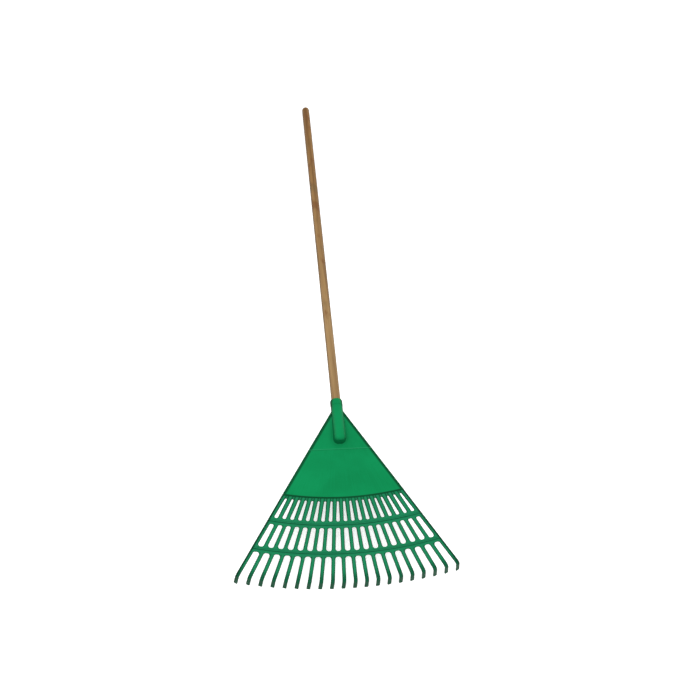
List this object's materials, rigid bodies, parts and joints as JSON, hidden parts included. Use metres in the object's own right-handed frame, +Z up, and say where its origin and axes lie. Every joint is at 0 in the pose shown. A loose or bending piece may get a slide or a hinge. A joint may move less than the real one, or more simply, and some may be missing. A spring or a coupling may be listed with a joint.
{
  "type": "leaf rake",
  "caption": "Lawn rake with a straight round wooden handle and a moulded fan head whose slotted lower part ends in springy tines with hooked tips.",
  "frame": {"origin": "centre of the footprint, on the floor the rake lies on", "axes": "+Y from the tine tips towards the handle's free end, +Z up, X across the tines"},
  "size_m": [0.4958, 1.5148, 0.1042],
  "materials": {
    "wood": "bare sanded softwood with darker streaks",
    "green_plastic": "injection-moulded polypropylene, satin",
    "zinc_screw": "zinc plated"
  },
  "bodies": {
    "rake": {"handle": "wood", "handle_screw": "zinc_screw", "rake_head": "green_plastic"},
    "tine_01": {"tine_01": "green_plastic"},
    "tine_02": {"tine_02": "green_plastic"},
    "tine_03": {"tine_03": "green_plastic"},
    "tine_04": {"tine_04": "green_plastic"},
    "tine_05": {"tine_05": "green_plastic"},
    "tine_06": {"tine_06": "green_plastic"},
    "tine_07": {"tine_07": "green_plastic"},
    "tine_08": {"tine_08": "green_plastic"},
    "tine_09": {"tine_09": "green_plastic"},
    "tine_10": {"tine_10": "green_plastic"},
    "tine_11": {"tine_11": "green_plastic"},
    "tine_12": {"tine_12": "green_plastic"},
    "tine_13": {"tine_13": "green_plastic"},
    "tine_14": {"tine_14": "green_plastic"},
    "tine_15": {"tine_15": "green_plastic"},
    "tine_16": {"tine_16": "green_plastic"},
    "tine_17": {"tine_17": "green_plastic"},
    "tine_18": {"tine_18": "green_plastic"},
    "tine_19": {"tine_19": "green_plastic"},
    "tine_20": {"tine_20": "green_plastic"}
  },
  "joints": [
    {"name": "tine_01_flex", "type": "hinge", "parent": "rake", "child": "tine_01", "pos_m": [-0.21367, -0.68733, 0.04009], "axis": [-0.8449, 0.5295, 0.076], "range_deg": [-5, 12], "stiffness_Nm_per_rad": 3.1},
    {"name": "tine_02_flex", "type": "hinge", "parent": "rake", "child": "tine_02", "pos_m": [-0.19087, -0.69233, 0.03937], "axis": [-0.8735, 0.4818, 0.0691], "range_deg": [-5, 12], "stiffness_Nm_per_rad": 3.1},
    {"name": "tine_03_flex", "type": "hinge", "parent": "rake", "child": "tine_03", "pos_m": [-0.1681, -0.69675, 0.03874], "axis": [-0.9, 0.4316, 0.0619], "range_deg": [-5, 12], "stiffness_Nm_per_rad": 3.1},
    {"name": "tine_04_flex", "type": "hinge", "parent": "rake", "child": "tine_04", "pos_m": [-0.14539, -0.70058, 0.03819], "axis": [-0.9238, 0.3789, 0.0544], "range_deg": [-5, 12], "stiffness_Nm_per_rad": 3.1},
    {"name": "tine_05_flex", "type": "hinge", "parent": "rake", "child": "tine_05", "pos_m": [-0.12276, -0.70384, 0.03772], "axis": [-0.9448, 0.3242, 0.0465], "range_deg": [-5, 12], "stiffness_Nm_per_rad": 3.1},
    {"name": "tine_06_flex", "type": "hinge", "parent": "rake", "child": "tine_06", "pos_m": [-0.10024, -0.70653, 0.03733], "axis": [-0.9627, 0.2677, 0.0384], "range_deg": [-5, 12], "stiffness_Nm_per_rad": 3.1},
    {"name": "tine_07_flex", "type": "hinge", "parent": "rake", "child": "tine_07", "pos_m": [-0.07783, -0.70867, 0.03703], "axis": [-0.9773, 0.2097, 0.0301], "range_deg": [-5, 12], "stiffness_Nm_per_rad": 3.1},
    {"name": "tine_08_flex", "type": "hinge", "parent": "rake", "child": "tine_08", "pos_m": [-0.05552, -0.71026, 0.0368], "axis": [-0.9884, 0.1506, 0.0216], "range_deg": [-5, 12], "stiffness_Nm_per_rad": 3.1},
    {"name": "tine_09_flex", "type": "hinge", "parent": "rake", "child": "tine_09", "pos_m": [-0.03328, -0.71132, 0.03664], "axis": [-0.9958, 0.0907, 0.013], "range_deg": [-5, 12], "stiffness_Nm_per_rad": 3.1},
    {"name": "tine_10_flex", "type": "hinge", "parent": "rake", "child": "tine_10", "pos_m": [-0.01109, -0.71184, 0.03657], "axis": [-0.9995, 0.0303, 0.0043], "range_deg": [-5, 12], "stiffness_Nm_per_rad": 3.1},
    {"name": "tine_11_flex", "type": "hinge", "parent": "rake", "child": "tine_11", "pos_m": [0.01109, -0.71184, 0.03657], "axis": [-0.9995, -0.0303, -0.0043], "range_deg": [-5, 12], "stiffness_Nm_per_rad": 3.1},
    {"name": "tine_12_flex", "type": "hinge", "parent": "rake", "child": "tine_12", "pos_m": [0.03328, -0.71132, 0.03664], "axis": [-0.9958, -0.0907, -0.013], "range_deg": [-5, 12], "stiffness_Nm_per_rad": 3.1},
    {"name": "tine_13_flex", "type": "hinge", "parent": "rake", "child": "tine_13", "pos_m": [0.05552, -0.71026, 0.0368], "axis": [-0.9884, -0.1506, -0.0216], "range_deg": [-5, 12], "stiffness_Nm_per_rad": 3.1},
    {"name": "tine_14_flex", "type": "hinge", "parent": "rake", "child": "tine_14", "pos_m": [0.07783, -0.70867, 0.03703], "axis": [-0.9773, -0.2097, -0.0301], "range_deg": [-5, 12], "stiffness_Nm_per_rad": 3.1},
    {"name": "tine_15_flex", "type": "hinge", "parent": "rake", "child": "tine_15", "pos_m": [0.10024, -0.70653, 0.03733], "axis": [-0.9627, -0.2677, -0.0384], "range_deg": [-5, 12], "stiffness_Nm_per_rad": 3.1},
    {"name": "tine_16_flex", "type": "hinge", "parent": "rake", "child": "tine_16", "pos_m": [0.12276, -0.70384, 0.03772], "axis": [-0.9448, -0.3242, -0.0465], "range_deg": [-5, 12], "stiffness_Nm_per_rad": 3.1},
    {"name": "tine_17_flex", "type": "hinge", "parent": "rake", "child": "tine_17", "pos_m": [0.14539, -0.70058, 0.03819], "axis": [-0.9238, -0.3789, -0.0544], "range_deg": [-5, 12], "stiffness_Nm_per_rad": 3.1},
    {"name": "tine_18_flex", "type": "hinge", "parent": "rake", "child": "tine_18", "pos_m": [0.1681, -0.69675, 0.03874], "axis": [-0.9, -0.4316, -0.0619], "range_deg": [-5, 12], "stiffness_Nm_per_rad": 3.1},
    {"name": "tine_19_flex", "type": "hinge", "parent": "rake", "child": "tine_19", "pos_m": [0.19087, -0.69233, 0.03937], "axis": [-0.8735, -0.4818, -0.0691], "range_deg": [-5, 12], "stiffness_Nm_per_rad": 3.1},
    {"name": "tine_20_flex", "type": "hinge", "parent": "rake", "child": "tine_20", "pos_m": [0.21367, -0.68733, 0.04009], "axis": [-0.8449, -0.5295, -0.076], "range_deg": [-5, 12], "stiffness_Nm_per_rad": 3.1}
  ]
}
